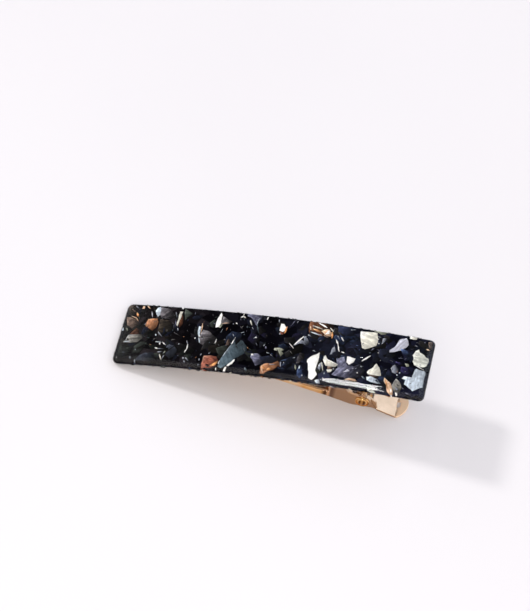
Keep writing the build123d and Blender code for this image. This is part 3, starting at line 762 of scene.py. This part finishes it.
class Chips:
    """Collects flat chips, each with its own tone, grain direction, depth and small tilt; the tone
    carries a painted highlight on the rim facing the light and painted shade away from it.
    """

    def __init__(self, name, seed):
        self.name = name
        self.random = random.Random(seed)
        self.bm = bmesh.new()
        self.tone = self.bm.verts.layers.float_color.new("tone")
        self.grain = self.bm.loops.layers.uv.new("grain")

    def add(self, outline, tone, depth, to_world, gain=1.0, tilt=0.10):
        """outline: points in the face's plane; to_world maps (a, b, depth) to a point."""
        rnd = self.random
        body, rim = TONES[tone]
        body = body * gain
        rim = rim * min(gain, 1.0)
        centre = Vector((sum(p[0] for p in outline), sum(p[1] for p in outline))) / len(outline)
        size = max((Vector(p) - centre).length for p in outline)
        ring = []
        for here, after in zip(outline, outline[1:] + outline[:1]):
            here, after = Vector(here), Vector(after)
            parts = max(1, round((after - here).length / OUTLINE_STEP))
            for i in range(parts):
                point = here.lerp(after, i / parts)
                wobble = 0.05 if i == 0 else 0.09
                shake = Vector((rnd.uniform(-wobble, wobble), rnd.uniform(-wobble, wobble)))
                ring.append(point + shake)
        slope = Vector((rnd.uniform(-tilt, tilt), rnd.uniform(-tilt, tilt)))
        limit = max(depth - LEAST_DEPTH, 0.0)
        turn = rnd.uniform(0, math.pi)
        shift = Vector((rnd.uniform(0, 90), rnd.uniform(0, 90)))
        # Painted highlight: the rim on this side, towards the key light, takes the family's rim tone
        lit = Vector((-0.8, 0.6)).normalized()

        fall = FADE.get(tone, 0.25)
        heading = Vector((-1, rnd.uniform(-0.5, 0.8))).normalized()

        def vertex(point, level):
            offset = point - centre
            lift = max(-limit, min(limit, offset.dot(slope)))
            vert = self.bm.verts.new(to_world(point.x, point.y, depth + lift))
            across = offset.dot(heading) / size
            light = rim * level + body * (1 - level)
            # Painted shade: the tone darkens across the chip away from the light, as strongly as FADE
            # gives
            light = light * max(0.05, 1 - fall * 0.5 + fall * across) * CHIP_GAIN
            light = [min(value, PALEST) for value in light]
            vert[self.tone] = (*light, LIVELY.get(tone, 0.8))
            return vert, point

        border = min(0.22, size * 0.25)
        levels = []
        for share in (0.0, 1.0, None):
            loop = []
            for point in ring:
                way = point - centre
                catch = max(0.0, way.normalized().dot(lit)) ** 2
                if share is None:
                    loop.append(vertex(centre + way * 0.45, 0.0))
                elif share:
                    loop.append(vertex(point - way.normalized() * border, catch * 0.15))
                else:
                    loop.append(vertex(point, min(1.0, catch * rnd.uniform(0.4, 1.1))))
            levels.append(loop)
        outer, inner, deep = levels
        middle = vertex(centre, 0.0)

        def face(corners):
            made = self.bm.faces.new([v for v, _ in corners])
            for loop, (_, point) in zip(made.loops, corners):
                u = point.x * math.cos(turn) + point.y * math.sin(turn) + shift.x
                v = -point.x * math.sin(turn) + point.y * math.cos(turn) + shift.y
                loop[self.grain].uv = (u, v)

        count = len(ring)
        for i in range(count):
            j = (i + 1) % count
            face((outer[i], outer[j], inner[j], inner[i]))
            face((inner[i], inner[j], deep[j], deep[i]))
            face((deep[i], deep[j], middle))

    def sliver(self, start, end, width, tone, depth, to_world):
        start, end = Vector(start), Vector(end)
        way = (end - start).normalized()
        side = Vector((-way.y, way.x)) * width / 2
        waist = start.lerp(end, 0.5)
        outline = [start - side * 0.3, waist - side, end - side * 0.4]
        outline += [end + side * 0.4, waist + side, start + side * 0.3]
        self.add([tuple(p) for p in outline], tone, depth, to_world, tilt=0.02)

    def finish(self):
        mesh = bpy.data.meshes.new(self.name)
        self.bm.normal_update()
        self.bm.to_mesh(mesh)
        self.bm.free()
        obj = new_object(self.name, mesh)
        mesh.materials.append(CHIP)
        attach(obj, "bar_body")
        return obj


# Beyond WRAP_Y a chip runs down the side wall, just under the skin, and stops above the back
WRAP_Y = 9.4
UNDER_SKIN = 0.03
CLEAR_OF_BACK = 0.7


def on_face(x, y, depth):
    """Under the face; beyond the edge the chip carries on down the side wall."""
    if abs(y) > WRAP_Y:
        down = min(edge_drop(0.01) + (abs(y) - WRAP_Y) * 0.75, THICK - CLEAR_OF_BACK)
        return place(x, math.copysign(WIDTH / 2 - UNDER_SKIN, y), arc(x, THICK - down))
    drop = edge_drop(min(WIDTH / 2 - abs(y), LENGTH / 2 - abs(x)))
    return place(x, y, arc(x, THICK - drop - depth))


def on_side(sign):
    return lambda a, b, depth: place(a, sign * (WIDTH / 2 - depth), arc(a, b))


def on_end(sign):
    return lambda a, b, depth: place(sign * (LENGTH / 2 - depth), a, arc(LENGTH / 2, b))


def on_back(x, y, depth):
    return place(x, y, arc(x, depth))


def blob(rnd, x, y, size):
    """An irregular convex chip outline."""
    corners = rnd.randint(3, 6)
    stretch = rnd.uniform(0.5, 1.0)
    turn = rnd.uniform(0, math.pi)
    points = []
    for i in range(corners):
        a = 2 * math.pi * (i + rnd.uniform(-0.3, 0.3)) / corners
        px = size * math.cos(a) * rnd.uniform(0.75, 1.1)
        py = size * stretch * math.sin(a) * rnd.uniform(0.75, 1.1)
        across = px * math.cos(turn) - py * math.sin(turn)
        along = px * math.sin(turn) + py * math.cos(turn)
        points.append((x + across, y + along))
    return points


def inside(points, margin):
    return all(abs(x) < LENGTH / 2 - margin and abs(y) < WIDTH / 2 - margin for x, y in points)


def scatter_slivers(chips, count, lengths, widths, tones_at, depth):
    """Random short slivers over the face; tones_at(x) lists the families for a place."""
    rnd = chips.random
    for i in range(count):
        start = (rnd.uniform(-41, 41), rnd.uniform(-9, 9))
        way = Vector((rnd.uniform(-1, 1), rnd.uniform(-1, 1))).normalized() * rnd.uniform(*lengths)
        tone = rnd.choice(tones_at(start[0]))
        end = (start[0] + way.x, start[1] + way.y)
        if inside([start, end], 0.8):
            chips.sliver(start, end, rnd.uniform(*widths), tone, depth, on_face)


def scatter_blobs(chips, count, sizes, margin, lay):
    """Random chips over the bar, kept off its edge; lay(points, x) adds each one."""
    rnd = chips.random
    laid = 0
    while laid < count:
        x, y = rnd.uniform(-41, 41), rnd.uniform(-9.2, 9.2)
        points = blob(rnd, x, y, rnd.uniform(*sizes))
        if inside(points, margin):
            lay(points, x)
            laid += 1


PALE = ("white", "cream", "icy", "pale_lavender", "peach")
DIM_LEFT = ["ash", "umber", "moss", "navy", "umber", "ash"]
DIM_RIGHT = ["navy", "blue", "violet", "ash", "navy", "blue"]
CRACKS = ["silver", "lavender", "ash", "icy", "smoke", "slate", "copper"]
BACK_TONES = [
    "ash", "grey", "navy", "slate", "lavender", "umber", "blue", "silver", "cream", "olive", "rust",
    "icy", "moss", "peach",
]
BACK_PALE = ("silver", "cream", "icy", "peach", "olive", "rust")

# Depths under the face in mm: slivers on top, then the white, the pale and the other chips
DEPTH_WHITE, DEPTH_PALE, DEPTH_OTHER = (0.075, 0.085), (0.10, 0.115), (0.16, 0.27)
DEPTH_SLIVER = (0.05, 0.08)

seen = Chips("chips_face", 11)
for tone, outline in CHIPS:
    low, high = DEPTH_WHITE if tone == "white" else DEPTH_PALE if tone in PALE else DEPTH_OTHER
    seen.add(outline, tone, seen.random.uniform(low, high), on_face)
for tone, start, end, width in SLIVERS:
    seen.sliver(start, end, width, tone, seen.random.uniform(*DEPTH_SLIVER), on_face)
seen.finish()

cracks = Chips("chips_cracks", 77)
scatter_slivers(cracks, 125, (0.3, 1.3), (0.07, 0.22), lambda x: CRACKS, 0.125)
cracks.finish()

dim = Chips("chips_deep", 5)


def lay_dim(points, x):
    """Bluer towards the raised end, and stronger at the low end and round x = 21."""
    rnd = dim.random
    family = DIM_RIGHT if rnd.random() < (x + 30) / 50 else DIM_LEFT
    gain = rnd.uniform(0.06, 0.30)
    gain *= 1.3 if x < -10 else 1 + 0.7 * math.exp(-(((x - 21) / 9) ** 2))
    dim.add(points, rnd.choice(family), rnd.uniform(0.30, 0.39), on_face, gain=gain)


scatter_blobs(dim, 170, (1.2, 3.2), 0.6, lay_dim)
scatter_slivers(dim, 110, (0.3, 1.0), (0.1, 0.25), lambda x: DIM_RIGHT if x > 0 else DIM_LEFT, 0.28)
dim.finish()

# Chips on the long walls and the end walls: which wall, how far along it from the middle, and how
# many. They keep RIM_LOWEST above the back.
RIM_GROUPS = (
    (on_side(-1), 39.5, 70), (on_side(1), 39.5, 70), (on_end(-1), 7.3, 16), (on_end(1), 7.3, 16),
)
RIM_LOWEST = 0.64
rim = Chips("chips_rim", 31)
rnd = rim.random
for to_world, reach, count in RIM_GROUPS:
    for i in range(count):
        points = blob(rnd, rnd.uniform(-reach, reach), rnd.uniform(0.7, 1.6), rnd.uniform(0.25, 0.7))
        points = [(a, min(max(b, RIM_LOWEST), THICK - EDGE_DROP)) for a, b in points]
        tone = rnd.choice(DIM_RIGHT + DIM_LEFT + ["cream", "slate", "bronze"])
        rim.add(points, tone, UNDER_SKIN, to_world, gain=rnd.uniform(0.1, 0.6))
rim.finish()

behind = Chips("chips_back", 23)


def lay_behind(points, x):
    rnd = behind.random
    tone = rnd.choice(BACK_TONES)
    gain = rnd.uniform(0.5, 1.0) if tone in BACK_PALE else rnd.uniform(0.15, 0.9)
    behind.add(points, tone, rnd.uniform(0.12, 0.38), on_back, gain=gain)


scatter_blobs(behind, 330, (0.6, 2.3), 0.7, lay_behind)
behind.finish()


# ---------------------------------------------------------------- the clip


# Edges that turn by more than this are rounded, and rounds are given in mm
BREAK_ANGLE = math.radians(38)
SHEET_ROUND, GLUE_ROUND = 0.10, 0.04


def plated(node_name, mat, width):
    """The CAD piece with its stamped edges broken by a small round."""
    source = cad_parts[node_name]
    mesh = source.data.copy()
    mesh.name = node_name + "_plated"
    mesh.materials.clear()
    mesh.materials.append(mat)
    bm = bmesh.new()
    bm.from_mesh(mesh)
    bmesh.ops.remove_doubles(bm, verts=bm.verts, dist=2e-6)
    bmesh.ops.dissolve_limit(bm, angle_limit=math.radians(0.8), verts=bm.verts, edges=bm.edges)
    bm.to_mesh(mesh)
    bm.free()
    obj = new_object(node_name + "_plated", mesh)
    smooth(obj)
    mod = obj.modifiers.new("edges", "BEVEL")
    mod.width = width * MM
    mod.segments = 3
    mod.limit_method = "ANGLE"
    mod.angle_limit = BREAK_ANGLE
    mod.use_clamp_overlap = False
    mod.harden_normals = True
    return obj


upper = plated("upper_jaw", GOLD, SHEET_ROUND)
lower = plated("lower_jaw", GOLD, SHEET_ROUND)


def turned_pin():
    """The pin: a shank with a peened head at each end, a ring groove round the head's dome."""
    head = [
        (0.90, 0.0), (1.95, 0.0), (1.95, 0.22), (1.90, 0.33), (1.80, 0.38), (1.58, 0.38),
        (1.52, 0.16), (1.36, 0.16), (1.30, 0.36), (1.20, 0.45), (1.00, 0.53), (0.70, 0.59),
        (0.35, 0.62), (0.0, 0.62),
    ]
    outline = [(r, -EAR_OUTSIDE - h) for r, h in reversed(head)]
    outline += [(r, EAR_OUTSIDE + h) for r, h in head]
    bm = bmesh.new()
    steps = 64
    rows = []
    for r, y in outline:
        row = []
        for i in range(steps):
            a = 2 * math.pi * i / steps
            point = place(PIN[0] + r * math.cos(a), y, PIN[1] + r * math.sin(a))
            row.append(bm.verts.new(point))
        rows.append(row)
    join_rings(bm, rows)
    obj = finish_mesh(bm, "hinge_pin_turned")
    obj.data.materials.append(GOLD_PIN)
    mod = obj.modifiers.new("edges", "EDGE_SPLIT")
    mod.split_angle = math.radians(42)
    return obj


pin = turned_pin()
glue = plated("adhesive", GLUE, GLUE_ROUND)
for obj, name, body, slot in (
    (upper, "upper_jaw", "bar_body", "gold_plate"),
    (lower, "lower_jaw", "lever_body", "gold_plate"),
    (pin, "hinge_pin", "bar_body", "gold_plate"),
    (glue, "adhesive", "bar_body", "adhesive"),
):
    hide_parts(name)
    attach(obj, body)

spring_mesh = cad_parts["torsion_spring"].data.copy()
spring_mesh.materials.clear()
spring_mesh.materials.append(WIRE)
spring = new_object("spring_wire", spring_mesh)
smooth(spring)
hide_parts("torsion_spring")
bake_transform(spring)


# ---------------------------------------------------------------- the stage


def floor_material():
    mat, tree, shader = material("pale_floor")
    where = coordinates(tree)
    grain = noise_value(tree, where, 900.0, 5.0)
    broad = noise_value(tree, where, 5.0, 2.0)
    tone = ramp(tree, broad, [(0.3, (0.755, 0.745, 0.780)), (0.7, (0.785, 0.775, 0.810))])
    tree.links.new(tone, shader.inputs["Base Color"])
    shader.inputs["Roughness"].default_value = 0.6
    bump(tree, shader, grain, 0.05, 0.0002)
    return mat


bpy.ops.mesh.primitive_plane_add(size=6.0, location=(0, 0, 0))
floor = bpy.context.object
floor.name = "floor"
floor.data.materials.append(floor_material())

TARGET = Vector((0, 0, 0.008))
AZIMUTH, ELEVATION, ROLL = math.radians(1.4), math.radians(56.3), math.radians(12.95)
DISTANCE = 0.68
SENSOR_MM = 36.0
LENS_MM = 151.18822
# How far the target sits right of and above the middle of the view, as tangents
OFF_CENTRE = (0.00282541, -0.01995323)

flat = math.cos(ELEVATION)
back = Vector((math.sin(AZIMUTH) * flat, -math.cos(AZIMUTH) * flat, math.sin(ELEVATION)))
level = Vector((math.cos(AZIMUTH), math.sin(AZIMUTH), 0))
rise = back.cross(level)
right = level * math.cos(ROLL) + rise * math.sin(ROLL)
up = -level * math.sin(ROLL) + rise * math.cos(ROLL)
eye = TARGET + back * DISTANCE
aim = TARGET - right * (OFF_CENTRE[0] * DISTANCE) - up * (OFF_CENTRE[1] * DISTANCE)
look = (eye - aim).normalized()
side = up.cross(look).normalized()
camera_data = bpy.data.cameras.new("camera")
camera_data.sensor_width = SENSOR_MM
camera_data.lens = LENS_MM
camera_data.clip_start = 0.01
camera = bpy.data.objects.new("camera", camera_data)
bpy.context.collection.objects.link(camera)
turned = Matrix((side, look.cross(side), look)).transposed().to_4x4()
camera.matrix_world = Matrix.Translation(eye) @ turned
bpy.context.scene.camera = camera


def area_light(name, towards, distance, size, size_y, power, colour):
    data = bpy.data.lights.new(name, "AREA")
    data.shape = "RECTANGLE"
    data.size = size
    data.size_y = size_y
    data.energy = power
    data.color = colour
    obj = bpy.data.objects.new(name, data)
    bpy.context.collection.objects.link(obj)
    way = Vector(towards).normalized()
    obj.location = TARGET + way * distance
    obj.rotation_euler = way.to_track_quat("Z", "Y").to_euler()
    return obj


key = bpy.data.lights.new("key", "SUN")
key.energy = 1.3
key.angle = math.radians(7.5)
key.color = (1.0, 0.965, 0.93)
key_obj = bpy.data.objects.new("key", key)
bpy.context.collection.objects.link(key_obj)
KEY_FROM = Vector((-1.315, 0.38, 1.0))
key_obj.rotation_euler = KEY_FROM.to_track_quat("Z", "Y").to_euler()

# The strip gives no diffuse light, and the fill doesn't show in reflections
strip = area_light(
    "gloss_strip", (-0.177, -0.06, 0.7),
    distance=0.74, size=0.085, size_y=0.88, power=6.0, colour=(1, 1, 1),
)
strip.rotation_euler = (0, 0, 0)
strip.visible_diffuse = False

fill = area_light(
    "fill", (0.1, -1.0, 0.9),
    distance=1.5, size=1.0, size_y=1.0, power=7.5, colour=(1.0, 0.93, 0.85),
)
fill.visible_glossy = False

world = bpy.data.worlds.new("studio")
bpy.context.scene.world = world
world.use_nodes = True
backdrop = world.node_tree.nodes["Background"]
sky = world.node_tree
direction = sky.nodes.new("ShaderNodeTexCoord")
axes = sky.nodes.new("ShaderNodeSeparateXYZ")
sky.links.new(direction.outputs["Generated"], axes.inputs[0])


def span(axis, low, high):
    made = node(sky, "ShaderNodeMapRange", From_Min=low, From_Max=high)
    made.interpolation_type = "SMOOTHSTEP"
    sky.links.new(axes.outputs[axis], made.inputs["Value"])
    return made.outputs[0]


# The world by direction. It is `front` but for the part high up and beyond the object, which is
# `ceiling`: dark for X from -0.515 to -0.17, and bright on either side of that.
front = mix(sky, span("Y", -0.5, 0.4), (1.10, 1.02, 0.96), (0.88, 0.93, 1.02))
ceiling = mix(sky, span("X", -0.17, 0.06), (0.03, 0.03, 0.035), (1.18, 1.26, 1.42))
ceiling = mix(sky, span("X", -0.58, -0.515), (1.0, 1.0, 1.0), ceiling)
both_sides = mix(sky, span("Y", -0.05, 0.25), front, ceiling)
shade = mix(sky, span("Z", 0.25, 0.45), front, both_sides)
sky.links.new(shade, backdrop.inputs["Color"])
backdrop.inputs["Strength"].default_value = 0.86

bpy.context.scene.view_settings.view_transform = "Standard"
